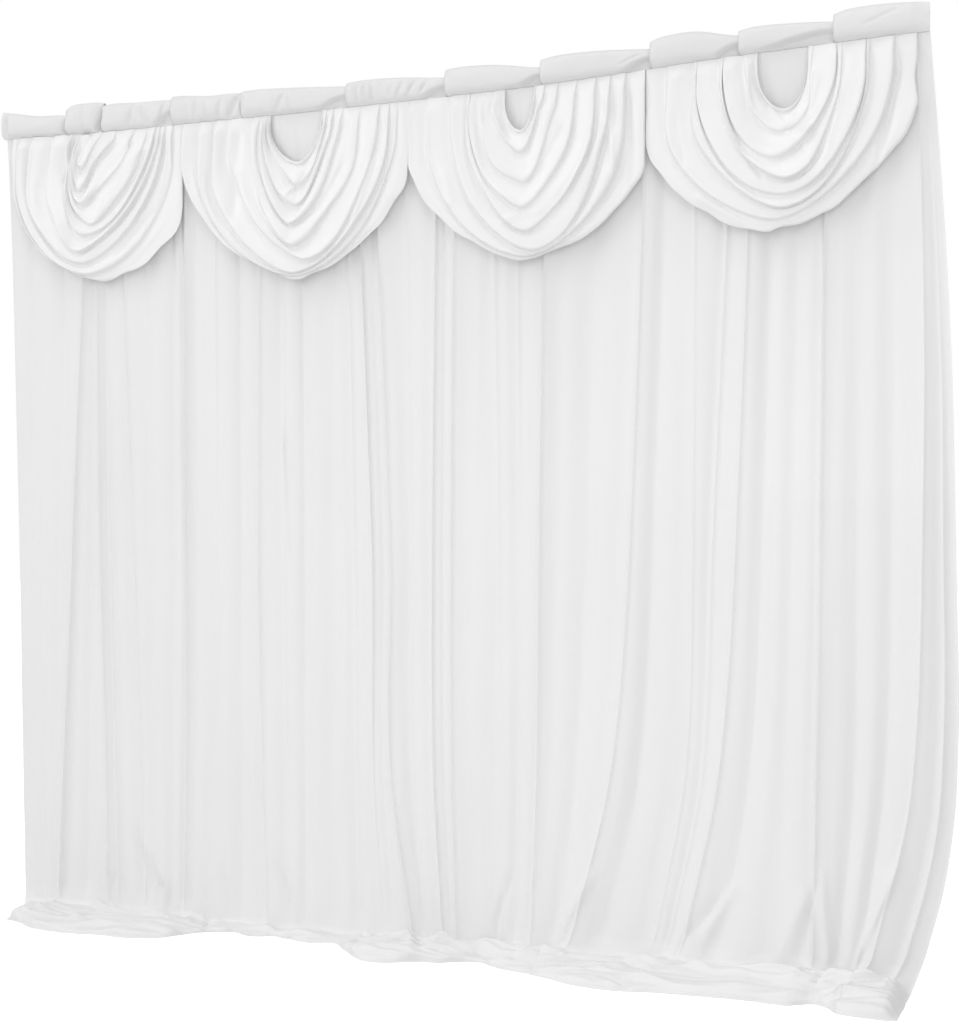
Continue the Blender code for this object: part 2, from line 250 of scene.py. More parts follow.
def crease_lift(creases: tuple, x: np.ndarray, z: np.ndarray) -> np.ndarray:
    """Add up how far creases lift each point of a cloth.

    Args:
        creases: the creases, a Crease each.
        x: the points' places along the rod.
        z: their heights, or their distances out over the floor.

    Returns:
        The lift towards the front, or off the floor, at each point.
    """
    lift = np.zeros(np.broadcast(x, z).shape)
    for crease in creases:
        run = np.array((crease.x_end - crease.x_start, crease.z_end - crease.z_start))
        length = float(np.hypot(*run))
        dx, dz = x - crease.x_start, z - crease.z_start
        along = (dx * run[0] + dz * run[1]) / length ** 2
        aside = np.abs(dx * run[1] - dz * run[0]) / length
        taper = np.clip(np.minimum(along, 1 - along) * 4 + 0.35, 0, 1)
        taper = taper * taper * (3 - 2 * taper)
        lift += crease.height * taper * np.exp(-(aside / (0.6 * crease.width)) ** 2)
    return lift


# ---- finishes ------------------------------------------------------------------------------
def linear(colour: str) -> tuple:
    """Turn an sRGB hex colour into Blender's linear one."""
    shares = (int(colour[i:i + 2], 16) / 255 for i in (1, 3, 5))
    return tuple(c / 12.92 if c <= 0.04045 else ((c + 0.055) / 1.055) ** 2.4 for c in shares) + (1.0,)


def add_node(tree: bpy.types.NodeTree, kind: str, settings: dict, links: dict) -> bpy.types.Node:
    """Add one node.

    Args:
        tree: the material's or world's node tree.
        kind: the node's type.
        settings: values by name, each for a socket or, failing that, for a property.
        links: output sockets by the name or number of the input that they feed.

    Returns:
        The node.
    """
    node = tree.nodes.new(kind)
    for name, value in settings.items():
        if name in node.inputs:
            node.inputs[name].default_value = value
        else:
            setattr(node, name, value)
    for name, socket in links.items():
        tree.links.new(socket, node.inputs[name])
    return node


@dataclass(frozen=True)
class ClothFinish:
    """A woven or knitted white cloth.

    The threads, the faint lengthwise streaks and the broad cast of lighter and darker cloth follow
    the cloth's own UV map, which is in metres.
    """

    name: str
    colour: str
    shade: str
    roughness: float
    sheen: float
    specular: float
    streak_width: float
    streak_length: float
    streak_depth: float
    thread: float
    thread_depth: float
    sheer: float
    cast_width: float = 0.30
    cast_length: float = 0.80

    def material(self) -> bpy.types.Material:
        """Build the finish's material.

        Returns:
            The material, with a little light let through from behind the cloth.
        """
        material = bpy.data.materials.new(self.name)
        material.use_nodes = True
        tree = material.node_tree
        tree.nodes.clear()
        flat = add_node(tree, "ShaderNodeUVMap", {"uv_map": "cloth"}, {}).outputs["UV"]
        streaks = self.pattern(tree, flat, self.streak_width, self.streak_length, 3.0)
        threads = self.pattern(tree, flat, self.thread, self.thread, 1.0)
        cast = self.pattern(tree, flat, self.cast_width, self.cast_length, 2.0)
        tone = add_node(tree, "ShaderNodeMix", {"data_type": "RGBA"}, {"Factor": cast})
        for socket in tone.inputs:
            if socket.type == "RGBA" and socket.name == "A":
                socket.default_value = linear(self.shade)
            if socket.type == "RGBA" and socket.name == "B":
                socket.default_value = linear(self.colour)
        gloss = add_node(tree, "ShaderNodeMapRange",
                         {"To Min": self.roughness - 0.05, "To Max": self.roughness + 0.05},
                         {"Value": streaks})
        long_bump = add_node(tree, "ShaderNodeBump",
                             {"Strength": 1.0, "Distance": self.streak_depth}, {"Height": streaks})
        bump = add_node(tree, "ShaderNodeBump", {"Strength": 1.0, "Distance": self.thread_depth},
                        {"Height": threads, "Normal": long_bump.outputs["Normal"]})
        colour = next(s for s in tone.outputs if s.type == "RGBA")
        shader = add_node(tree, "ShaderNodeBsdfPrincipled",
                          {"Sheen Weight": self.sheen, "Sheen Roughness": 0.4,
                           "Specular IOR Level": self.specular, "IOR": 1.5},
                          {"Base Color": colour, "Roughness": gloss.outputs["Result"],
                           "Normal": bump.outputs["Normal"]})
        through = add_node(tree, "ShaderNodeBsdfTranslucent", {}, {"Color": colour})
        thin = add_node(tree, "ShaderNodeMixShader", {"Fac": self.sheer},
                        {1: shader.outputs["BSDF"], 2: through.outputs["BSDF"]})
        add_node(tree, "ShaderNodeOutputMaterial", {}, {"Surface": thin.outputs["Shader"]})
        return material

    def pattern(self, tree: bpy.types.NodeTree, flat: bpy.types.NodeSocket, width: float,
                length: float, detail: float) -> bpy.types.NodeSocket:
        """Add noise whose grains have a real size on the cloth.

        Args:
            tree: the material's node tree.
            flat: the cloth's UV map, in metres.
            width: a grain's width across the cloth, in metres.
            length: its length down the cloth, in metres.
            detail: how many finer octaves it has.

        Returns:
            The socket that gives the noise.
        """
        place = add_node(tree, "ShaderNodeMapping", {"Scale": (1 / width, 1 / length, 1.0)},
                         {"Vector": flat})
        noise = add_node(tree, "ShaderNodeTexNoise",
                         {"noise_dimensions": "2D", "Scale": 1.0, "Detail": detail},
                         {"Vector": place.outputs["Vector"]})
        return noise.outputs[0]


# Milk-silk warp knit, soft and matte: fine lengthwise wales that only faintly streak the light.
# The wales, 0.5 mm apart, are too fine to show, so they are drawn 1.6 mm apart, and the streaks
# of looser and tighter wales as coarse as 16 mm.
ICE_SILK_KNIT = ClothFinish(
    name="ice_silk_knit", colour="#ECECEC", shade="#E8E8E8", roughness=0.50, sheen=0.25,
    specular=0.40, streak_width=0.016, streak_length=0.70, streak_depth=0.0007,
    thread=0.0016, thread_depth=0.00006, sheer=0.15)
# Polyester satin, calendered: a soft sheen that whitens on the crests of the folds. Its threads,
# 0.1 mm apart, are too fine to show, so they are drawn 1.2 mm apart.
DRAPED_SATIN = ClothFinish(
    name="draped_satin", colour="#F1F1F1", shade="#EDEDED", roughness=0.38, sheen=0.40,
    specular=0.60, streak_width=0.012, streak_length=0.25, streak_depth=0.0002,
    thread=0.0012, thread_depth=0.00004, sheer=0.08)


# ---- the panel -----------------------------------------------------------------------------
class PanelFold(NamedTuple):
    """One standing fold: where it runs, how far it rises at three heights, and its two flanks.

    A negative rise is a valley.  The billow is how far the cloth round it bellies out in front.
    """

    name: str
    heading: float
    waist: float
    knee: float
    foot: float
    top: float
    middle: float
    bottom: float
    left: float
    right: float
    billow: float


PANEL_FOLDS = rows(PanelFold, (
    # name            heading  waist   knee    foot   top  middle bottom left right billow
    ("left_edge",     -1.492, -1.453, -1.441, -1.431, .016, .016, .012, .010, .040, .000),
    ("left_soft",     -1.404, -1.374, -1.360, -1.352, .004, .008, .010, .022, .024, .002),
    ("left_dip",      -1.276, -1.290, -1.300, -1.308, -.008, .000, .002, .012, .012, .004),
    ("lean_left",     -1.178, -1.232, -1.266, -1.286, .028, .034, .034, .030, .018, .006),
    ("wedge",         -1.164, -1.172, -1.184, -1.190, -.006, -.010, -.012, .016, .016, .006),
    ("inner_left",    -1.150, -1.120, -1.102, -1.092, .028, .032, .026, .011, .022, .010),
    ("beside_inner",  -1.122, -1.088, -1.070, -1.058, .006, .014, .016, .010, .020, .008),
    ("soft_left",     -1.064, -1.000, -0.978, -0.965, .022, .018, .010, .009, .034, .004),
    ("band_left",     -0.975, -0.940, -0.930, -0.920, .010, .008, .006, .030, .036, .002),
    ("crease_one",    -0.868, -0.862, -0.862, -0.864, -.010, -.006, .000, .010, .009, .000),
    ("crease_two",    -0.836, -0.822, -0.822, -0.828, -.012, -.010, -.006, .008, .006, .000),
    ("first_valley",  -0.812, -0.804, -0.804, -0.812, .034, .034, .022, .010, .024, .000),
    ("band_second",   -0.706, -0.700, -0.700, -0.702, .014, .008, .002, .034, .036, .000),
    ("crease_three",  -0.624, -0.618, -0.614, -0.612, -.014, -.008, -.002, .011, .012, -.002),
    ("under_second",  -0.532, -0.544, -0.532, -0.520, .028, .030, .016, .012, .036, -.004),
    ("beside_second", -0.470, -0.462, -0.455, -0.450, .002, .008, .002, .012, .016, -.004),
    ("crease_four",   -0.404, -0.396, -0.392, -0.390, -.016, -.012, -.004, .009, .020, -.004),
    ("calm",          -0.310, -0.290, -0.285, -0.280, .004, .000, .004, .030, .030, -.004),
    ("slim",          -0.252, -0.218, -0.212, -0.200, .014, .010, .006, .014, .014, -.004),
    ("narrow",        -0.222, -0.158, -0.156, -0.130, .026, .020, .008, .026, .009, -.002),
    ("narrow_dip",    -0.190, -0.122, -0.126, -0.092, -.010, -.010, -.004, .012, .012, .002),
    ("sweep_right",   -0.154, -0.084, -0.084, -0.018, .034, .034, .040, .012, .044, .006),
    ("band_third",    -0.050, -0.026, -0.022, 0.020, .010, .006, .008, .030, .030, .004),
    ("second_valley", 0.062, 0.044, 0.046, 0.072, .022, .020, .018, .014, .010, .000),
    ("crease_five",   0.086, 0.076, 0.078, 0.100, -.010, -.008, -.002, .008, .008, .000),
    ("beside_valley", 0.128, 0.113, 0.114, 0.128, .034, .036, .030, .012, .046, .000),
    ("ripple_one",    0.234, 0.258, 0.258, 0.256, .012, .006, .002, .016, .016, .002),
    ("ripple_two",    0.314, 0.322, 0.320, 0.312, .010, .004, .002, .014, .014, .002),
    ("under_third",   0.414, 0.394, 0.386, 0.368, .032, .036, .026, .012, .040, .004),
    ("hollow",        0.560, 0.530, 0.500, 0.440, -.008, -.010, -.004, .060, .060, .008),
    ("third_valley",  0.716, 0.666, 0.610, 0.500, .034, .034, .030, .040, .050, .012),
    ("third_dip",     0.772, 0.732, 0.690, 0.592, -.006, -.006, -.004, .020, .024, .014),
    ("soft_right",    0.852, 0.850, 0.828, 0.744, .020, .022, .016, .036, .038, .016),
    ("thin_right",    0.968, 0.906, 0.876, 0.786, .012, .010, .006, .012, .012, .022),
    ("long_sweep",    1.024, 0.976, 0.926, 0.830, .034, .034, .030, .034, .050, .026),
    ("long_dip",      1.078, 1.048, 1.010, 0.932, -.006, -.008, -.004, .022, .030, .034),
    ("shade_right",   1.150, 1.130, 1.110, 1.070, -.004, -.006, -.004, .040, .034, .048),
    ("under_fourth",  1.224, 1.214, 1.203, 1.195, .030, .024, .026, .012, .034, .055),
    ("streak_right",  1.310, 1.308, 1.298, 1.262, .002, -.004, -.012, .026, .026, .053),
    ("calm_right",    1.392, 1.400, 1.380, 1.320, .002, -.006, -.012, .026, .026, .051),
    ("end_fold",      1.462, 1.478, 1.452, 1.352, .026, .028, .026, .034, .040, .050),
    ("edge_band",     1.482, 1.530, 1.526, 1.434, .010, .016, .018, .020, .016, .038),
    ("right_edge",    1.496, 1.562, 1.566, 1.480, .014, .016, .010, .016, .010, .030),
))


class PoolStation(NamedTuple):
    """How far the cloth on the floor reaches at one place, how high it piles and where it drifts."""

    x: float
    reach: float
    pile: float
    drift: float


POOL = rows(PoolStation, (
    # x      reach  pile   drift to the right
    (-1.42, 0.150, 0.026, 0.050),
    (-1.34, 0.172, 0.034, 0.030),
    (-1.24, 0.208, 0.040, 0.015),
    (-1.12, 0.222, 0.036, 0.000),
    (-0.98, 0.212, 0.040, 0.000),
    (-0.86, 0.206, 0.044, 0.000),
    (-0.78, 0.170, 0.034, 0.010),
    (-0.70, 0.090, 0.018, 0.000),
    (-0.61, 0.050, 0.014, 0.000),
    (-0.55, 0.072, 0.018, 0.000),
    (-0.46, 0.055, 0.018, 0.000),
    (-0.35, 0.085, 0.024, 0.000),
    (-0.24, 0.070, 0.020, -0.010),
    (-0.16, 0.140, 0.036, -0.020),
    (-0.10, 0.200, 0.050, -0.020),
    (0.02, 0.168, 0.046, -0.010),
    (0.13, 0.140, 0.044, 0.000),
    (0.24, 0.104, 0.034, 0.000),
    (0.30, 0.136, 0.034, 0.000),
    (0.50, 0.168, 0.036, 0.000),
    (0.64, 0.222, 0.044, 0.000),
    (0.75, 0.228, 0.046, 0.000),
    (0.90, 0.196, 0.040, 0.000),
    (1.05, 0.190, 0.040, -0.010),
    (1.17, 0.188, 0.044, -0.020),
    (1.25, 0.156, 0.048, -0.030),
    (1.34, 0.204, 0.056, -0.010),
    (1.46, 0.236, 0.060, 0.030),
))
# A column of cloth on its way out over the floor: share of the course, of the reach and of the
# pile, and the height above the floor that is left of the standing cloth.
POOL_COURSE = (
    (0.00, 0.00, 0.00, 0.105),
    (0.10, 0.01, 0.00, 0.062),
    (0.20, 0.05, 0.04, 0.018),
    (0.30, 0.16, 0.34, 0.002),
    (0.44, 0.34, 1.00, 0.000),
    (0.62, 0.58, 0.86, 0.000),
    (0.80, 0.80, 0.62, 0.000),
    (0.93, 0.96, 0.36, 0.000),
    (1.00, 1.00, 0.00, 0.000),
)
# Short soft ridges and troughs of the standing cloth near the floor and below the swags.
PANEL_CREASES = rows(Crease, (
    # x      z       x      z     width  height
    (-1.000, -2.380, -0.940, -2.600, 0.020, -0.010),
    (-0.960, -2.420, -0.860, -2.610, 0.016, 0.010),
    (-0.940, -2.540, -0.800, -2.620, 0.012, -0.007),
    (-1.120, -2.470, -1.040, -2.610, 0.012, 0.007),
    (-0.500, -2.440, -0.420, -2.600, 0.016, -0.008),
    (-0.690, -2.480, -0.640, -2.610, 0.014, -0.007),
    (-0.467, -1.060, -0.450, -1.440, 0.007, 0.005),
    (1.208, -2.360, 1.150, -2.600, 0.016, -0.012),
    (1.214, -2.340, 1.236, -2.590, 0.018, 0.010),
    (1.176, -2.400, 1.090, -2.600, 0.020, 0.008),
    (1.420, -2.300, 1.300, -2.600, 0.016, 0.010),
    (0.930, -2.440, 0.800, -2.600, 0.014, -0.008),
    (0.980, -2.400, 0.860, -2.600, 0.020, 0.008),
    (0.560, -2.400, 0.440, -2.600, 0.020, 0.009),
    (0.300, -2.430, 0.240, -2.600, 0.016, -0.008),
))
# How far the panel's right edge bows out, by height.
EDGE_BOW = (
    (-2.665, 0.000),
    (-2.560, 0.012),
    (-2.400, 0.018),
    (-2.200, 0.008),
    (-2.000, 0.002),
    (-1.500, 0.005),
    (-0.900, 0.016),
    (-0.400, 0.014),
    (0.000, 0.004),
)
# Ridges and troughs of the cloth on the floor; their z is the distance out from the standing cloth.
POOL_CREASES = rows(Crease, (
    # x      out    x      out    width  height
    (-1.290, 0.000, -1.330, 0.150, 0.030, 0.012),
    (-1.090, 0.000, -1.120, 0.170, 0.026, 0.010),
    (-1.380, 0.120, -1.180, 0.190, 0.026, 0.010),
    (-1.180, 0.120, -0.900, 0.150, 0.016, -0.006),
    (-1.050, 0.165, -0.780, 0.120, 0.024, 0.008),
    (-0.960, 0.000, -0.800, 0.110, 0.024, 0.009),
    (-0.800, 0.000, -0.740, 0.090, 0.018, 0.010),
    (-0.720, 0.000, -0.690, 0.080, 0.018, -0.010),
    (-0.540, 0.000, -0.470, 0.050, 0.024, 0.010),
    (-0.600, 0.030, -0.300, 0.050, 0.018, 0.007),
    (-0.150, 0.000, -0.190, 0.110, 0.022, 0.010),
    (-0.040, 0.000, 0.030, 0.120, 0.026, 0.014),
    (-0.180, 0.150, 0.060, 0.130, 0.022, 0.012),
    (-0.140, 0.090, 0.020, 0.060, 0.014, -0.008),
    (0.110, 0.000, 0.060, 0.100, 0.024, 0.010),
    (0.350, 0.000, 0.060, 0.100, 0.036, 0.014),
    (0.200, 0.070, 0.420, 0.120, 0.018, -0.006),
    (0.480, 0.000, 0.300, 0.120, 0.026, 0.012),
    (0.540, 0.000, 0.400, 0.130, 0.014, -0.007),
    (0.420, 0.150, 0.700, 0.190, 0.026, 0.008),
    (0.500, 0.080, 0.900, 0.120, 0.016, -0.005),
    (0.780, 0.000, 0.600, 0.150, 0.028, 0.013),
    (0.850, 0.000, 0.740, 0.110, 0.014, -0.006),
    (0.700, 0.170, 1.040, 0.160, 0.026, 0.007),
    (0.860, 0.070, 1.160, 0.100, 0.018, 0.006),
    (1.180, 0.000, 1.130, 0.130, 0.024, 0.010),
    (1.230, 0.000, 1.210, 0.110, 0.016, -0.008),
    (1.330, 0.000, 1.220, 0.120, 0.024, 0.012),
    (1.250, 0.150, 1.460, 0.180, 0.030, 0.016),
    (1.220, 0.110, 1.420, 0.120, 0.016, -0.008),
))


@dataclass
class BackdropPanel:
    """The gathered panel: one sheet from the sewn line down its folds and out over the floor."""

    waist: float = -1.45
    knee: float = -2.10
    foot: float = -2.56
    valley_depth: float = 0.026
    fold_opening: float = 0.55
    crispness: float = 0.45
    low_rise: float = -2.50
    high_rise: float = -0.60
    billow_top: float = -0.60
    billow_full: float = -1.30
    fold_depth: float = 0.52
    valley_share: float = 0.35
    flank_spread: float = 1.35
    pinch: float = 0.20
    pinch_width: float = 0.011
    slope_reach: int = 20
    back_reach: int = 16
    hem_lift: float = 0.0016
    hem_turn: float = 0.016
    hang_rows: int = 96
    pool_rows: int = 90

    def columns(self) -> tuple:
        """Lay out the panel's columns.

        Returns:
            The fold before each column, and the share of the way on to the next fold.
        """
        before, shares = [], []
        for i in range(len(PANEL_FOLDS) - 1):
            gap = PANEL_FOLDS[i + 1].waist - PANEL_FOLDS[i].waist
            count = round(5.8 + gap / 0.0118)
            even = np.arange(count) / count
            before += [i] * count
            shares += list(even - 0.62 * np.sin(2 * np.pi * even) / (2 * np.pi))
        before.append(len(PANEL_FOLDS) - 2)
        shares.append(1.0)
        return np.array(before), np.array(shares)

    def hanging(self, z: np.ndarray) -> np.ndarray:
        """Shape the standing cloth.

        Args:
            z: the heights of its points, an array of rows and columns.

        Returns:
            The points, with their sideways and forward places worked out from the folds.
        """
        folds = np.array([fold[1:] for fold in PANEL_FOLDS], float)
        heading, waist, knee, foot, top, middle, bottom, left, right, bellies = folds.T
        before, share = self.columns()
        level = ((self.foot, foot), (self.knee, knee), (self.waist, waist), (0.0, heading))
        course = smooth_course([[place, *values] for place, values in level], z)
        column = np.arange(len(before))
        x_left = course[:, column, before]
        x_right = course[:, column, before + 1]
        rise_knots = [[self.low_rise, *bottom], [self.waist, *middle], [self.high_rise, *top]]
        rises = smooth_course(rise_knots, z)
        rises = np.where(rises > 0, self.fold_depth, self.valley_share) * rises
        rise_left = rises[:, column, before]
        rise_right = rises[:, column, before + 1]
        gap = np.maximum(x_right - x_left, 0.002)
        crest = np.zeros(z.shape)
        lean = np.zeros(z.shape)
        for rise, fold, distance, spread in ((rise_left, before, share * gap, right),
                                             (rise_right, before + 1, (1 - share) * gap, left)):
            wide = self.flank_spread * spread[fold]
            width = (wide ** -4.0 + (0.96 * gap) ** -4.0) ** -0.25
            near = flank(distance, width, self.crispness)
            pinched = self.pinch * flank(distance, self.pinch_width, 1.0)
            crest += rise * near + np.maximum(rise, 0) * pinched
            slant = (right[fold] - left[fold]) / (right[fold] + left[fold])
            lean += -0.40 * slant * np.maximum(rise, 0) * near ** 2
        crest += np.minimum(0.10 * gap, 0.007) * np.sin(np.pi * share) ** 2
        x = x_left + share * gap
        drop = seam_height(x) - z
        bow = smooth_course(EDGE_BOW, z) * smooth_step(1.35, 1.55, x)
        x = x + bow
        opened = np.sin(0.5 * np.pi * np.clip(drop / self.fold_opening, 0, 1))
        bellied = smooth_course(((self.billow_full, 1.0), (self.billow_top, 0.0)), z)
        billow = (1 - share) * bellies[before] + share * bellies[before + 1]
        y = opened * (self.valley_depth - crest) - bellied * billow
        y -= opened * self.streaks(x, z)
        y -= self.gathers(before + share, drop)
        y -= crease_lift(PANEL_CREASES, x, z)
        return np.stack((x + opened * lean, y, z), axis=-1)

    def streaks(self, x: np.ndarray, z: np.ndarray) -> np.ndarray:
        """Return the faint lengthwise swellings of the cloth between its folds."""
        wander = 0.05 * smooth_step(-1.2, -2.6, z)
        broad = ClothNoise(11).at(x / 0.34, z / 1.3)
        middle = ClothNoise(12).at((x + wander) / 0.060, z / 0.95)
        fine = ClothNoise(13).at((x + wander) / 0.026, z / 0.60)
        return 0.0045 * broad + 0.0022 * middle + 0.0007 * fine

    def gathers(self, place: np.ndarray, drop: np.ndarray) -> np.ndarray:
        """Return the small pleats of the gathered heading, which die out below the seam."""
        strength = np.exp(-drop / 0.16) * smooth_step(0.0, 0.03, drop)
        return 0.0045 * strength * ClothNoise(14).at(place * 2.6, drop / 0.4)

    def pooled(self, foot_rows: np.ndarray) -> np.ndarray:
        """Lay the cloth that pools on the floor in front of the standing cloth.

        Args:
            foot_rows: the standing cloth's points, whose last rows give its slope at the foot.

        Returns:
            The rows of points that follow them, out to the hem.
        """
        share = np.linspace(0, 1, self.pool_rows + 1)[1:, None]
        along, up, standing = np.moveaxis(smooth_course(POOL_COURSE, share), -1, 0)
        x, back = foot_rows[-1][None, :, 0], foot_rows[-1][None, :, 1]
        run = foot_rows[-1] - foot_rows[-4]
        slope = np.clip(run[:, 0] / -run[:, 2], -0.6, 0.6)[None, :]
        slope = eased(slope, self.slope_reach)
        reach, pile, drift = np.moveaxis(smooth_course(POOL, x), -1, 0)
        calmer = eased(back, self.back_reach)
        fold = np.clip(self.valley_depth - calmer, 0, 0.08)
        back = back + (calmer - back) * smooth_step(0.0, 0.24, share)
        edge = ClothNoise(21)
        reach = reach + 0.4 * fold + 0.008 * edge.at(x / 0.09, 0.3) + 0.003 * edge.at(x / 0.035, 4.3)
        out = along * reach
        inside = np.minimum(x - x.min(), x.max() - x)
        settled = smooth_step(0.0, 0.035, inside)
        lying = smooth_step(0.14, 0.40, share) * (1 - smooth_step(0.90, 1.0, share))
        wrinkle = ClothNoise(22)
        bend = wrinkle.at(x / 0.26, share * 1.6)
        long_folds = wrinkle.ridges(x / 0.36 + 3.1, out / 0.058 + bend)
        short_folds = wrinkle.ridges(x / 0.15 + 9.2, out / 0.036 + bend * 1.4)
        fine = ClothNoise(23).ridges(x / 0.07 + 4.0, out / 0.024 + bend * 2)
        across = ClothNoise(24).ridges(x / 0.12 + out * 5, out / 0.20)
        rough = 0.4 + 0.6 * smooth_step(-0.2, 0.5, ClothNoise(25).at(x / 0.30, 5.5))
        crumple = 0.010 * long_folds + (0.006 * short_folds + 0.0022 * fine + 0.005 * across) * rough
        humps = ClothNoise(26)
        middle = 0.34 + 0.05 * humps.at(x / 0.10, 2.2)
        hump = np.exp(-((share - middle) / 0.065) ** 2)
        swell = np.clip(humps.at(x / 0.075, 6.4) + 0.25, 0, 1) ** 0.7
        hump = hump * (0.004 + 0.016 * swell) * (0.4 + pile / 0.05)
        lift = pile * up * 0.42 + crumple * lying * (0.5 + pile / 0.07) + hump
        lift += 0.75 * fold * (1 - along) ** 1.3 * smooth_step(0.0, 0.3, share)
        swept = slope * (1.3 * (self.foot - FLOOR - standing) + 0.9 * out)
        where = x + drift * along + swept
        marked = crease_lift(POOL_CREASES, where, out) * smooth_step(0.05, 0.30, share)
        lift += np.maximum(marked * (1 - smooth_step(0.93, 1.0, share)), -0.6 * lift)
        lift = lift * settled + standing + self.hem_lift
        lift += 0.004 * wrinkle.at(x / 0.06, 7.7) ** 2 * smooth_step(0.9, 1.0, share)
        y = back * (1 - along) - out - 0.35 * crumple * lying - 0.3 * hump
        sideways = 0.4 * crumple * lying * wrinkle.at(x / 0.09, out / 0.07)
        return np.stack((where + sideways, y, FLOOR + lift), axis=-1)

    def surface(self) -> np.ndarray:
        """Shape the whole panel.

        Returns:
            Its rows of points, from the seam down and out over the floor to the turned hem.
        """
        before, share = self.columns()
        heads = np.array([fold.heading for fold in PANEL_FOLDS])
        head_x = heads[before] * (1 - share) + heads[before + 1] * share
        seam = seam_height(head_x) - SEAM_GAP
        down = np.linspace(0, 1, self.hang_rows + 1)[:, None]
        z = seam * (1 - down) + self.foot * down
        standing = self.hanging(z)
        standing[0, :, 1] = 0.0
        pool = self.pooled(standing)
        hem = []
        outward = pool[-1] - pool[-3]
        outward[:, 2] = 0
        outward /= np.maximum(np.linalg.norm(outward, axis=1, keepdims=True), 1e-6)
        for turn, lift in ((0.0015, -0.0006), (0.0, -0.0012), (-self.hem_turn, -0.0012)):
            row = pool[-1] + outward * turn
            row[:, 2] = np.maximum(pool[-1][:, 2] + lift, FLOOR + 0.0002)
            hem.append(row)
        return np.concatenate((standing, pool, np.array(hem)))

    def build(self, finish: bpy.types.Material) -> bpy.types.Object:
        cloth = cloth_object("panel_cloth", self.surface())
        cloth.data.materials.append(finish)
        attach(cloth, "backdrop_panel")
        return cloth


# ---- the sleeve ----------------------------------------------------------------------------
class SleeveSection(NamedTuple):
    """One puffed stretch of the sleeve between two pinches, left to right.

    The tuck is the length at its right end where the cloth is drawn in above the seam, and the
    gather is how finely creased it is.
    """

    start: float
    top_start: float
    top_middle: float
    top_end: float
    bulge: float
    tuck: float
    gather: float


SLEEVE_SECTIONS = rows(SleeveSection, (
    # start  top_start top_middle top_end bulge tuck gather
    (-1.500, 0.026, 0.002, -0.008, 0.026, 0.03, 0.2),
    (-1.240, 0.014, 0.026, 0.020, 0.030, 0.04, 0.6),
    (-1.105, 0.012, 0.010, 0.004, 0.024, 0.10, 0.7),
    (-0.840, 0.016, 0.006, 0.002, 0.026, 0.00, 1.0),
    (-0.590, 0.008, 0.002, -0.012, 0.026, 0.14, 0.4),
    (-0.222, -0.002, -0.002, -0.018, 0.025, 0.12, 1.0),
    (0.106, 0.006, 0.004, -0.018, 0.030, 0.10, 0.1),
    (0.406, 0.004, 0.012, 0.000, 0.030, 0.12, 0.1),
    (0.736, 0.022, 0.036, 0.012, 0.031, 0.10, 0.1),
    (0.990, 0.024, 0.030, 0.020, 0.028, 0.26, 0.2),
    (1.252, 0.040, 0.054, 0.046, 0.032, 0.00, 0.1),
))
# The sleeve's outline from its seam up the front, over the rod and down the back: share of the way
# round, share of the bulge in front, share of the back ply's depth behind, share of the height.
SLEEVE_RING = (
    (0.00, 0.00, 0.00, 0.00),
    (0.10, 0.80, 0.00, 0.16),
    (0.24, 1.00, 0.00, 0.50),
    (0.36, 0.84, 0.00, 0.80),
    (0.45, 0.40, 0.00, 0.96),
    (0.51, 0.04, 0.00, 1.00),
    (0.60, 0.00, 0.70, 0.90),
    (0.78, 0.00, 1.00, 0.50),
    (0.92, 0.00, 0.80, 0.14),
    (1.00, 0.00, 0.29, 0.00),
)


class SleeveTuck(NamedTuple):
    """A slanting crease across the sleeve's front ply, with its low and high ends."""

    x_low: float
    x_high: float
    low: float
    high: float
    width: float
    depth: float


SLEEVE_TUCKS = rows(SleeveTuck, (
    # x_low   x_high  low   high  width  depth
    (-1.484, -1.478, 0.00, 1.00, 0.006, 0.012),
    (-1.262, -1.236, 0.10, 0.95, 0.008, 0.012),
    (-1.180, -1.172, 0.00, 0.90, 0.005, 0.005),
    (-1.122, -1.100, 0.20, 1.00, 0.007, 0.010),
    (-1.010, -0.985, 0.00, 0.95, 0.006, 0.006),
    (-0.930, -0.968, 0.05, 0.85, 0.008, 0.007),
    (-0.890, -0.874, 0.10, 0.95, 0.005, 0.006),
    (-0.760, -0.752, 0.00, 0.95, 0.005, 0.006),
    (-0.716, -0.722, 0.00, 0.80, 0.004, 0.005),
    (-0.676, -0.664, 0.05, 0.90, 0.005, 0.006),
    (-0.638, -0.604, 0.05, 0.98, 0.009, 0.012),
    (-0.600, -0.586, 0.00, 0.80, 0.006, 0.008),
    (-0.470, -0.446, 0.00, 0.70, 0.008, 0.008),
    (-0.424, -0.424, 0.05, 0.90, 0.003, 0.005),
    (-0.190, -0.186, 0.05, 0.85, 0.004, 0.005),
    (-0.168, -0.166, 0.00, 0.85, 0.004, 0.006),
    (-0.142, -0.144, 0.05, 0.95, 0.004, 0.006),
    (-0.118, -0.112, 0.00, 0.85, 0.004, 0.004),
    (-0.062, -0.040, 0.05, 0.80, 0.005, 0.006),
    (-0.030, 0.004, 0.05, 0.90, 0.005, 0.007),
    (0.020, 0.048, 0.30, 0.95, 0.007, 0.006),
    (0.640, 0.700, 0.30, 0.70, 0.008, 0.004),
    (1.330, 1.420, 0.35, 0.75, 0.014, 0.004),
))


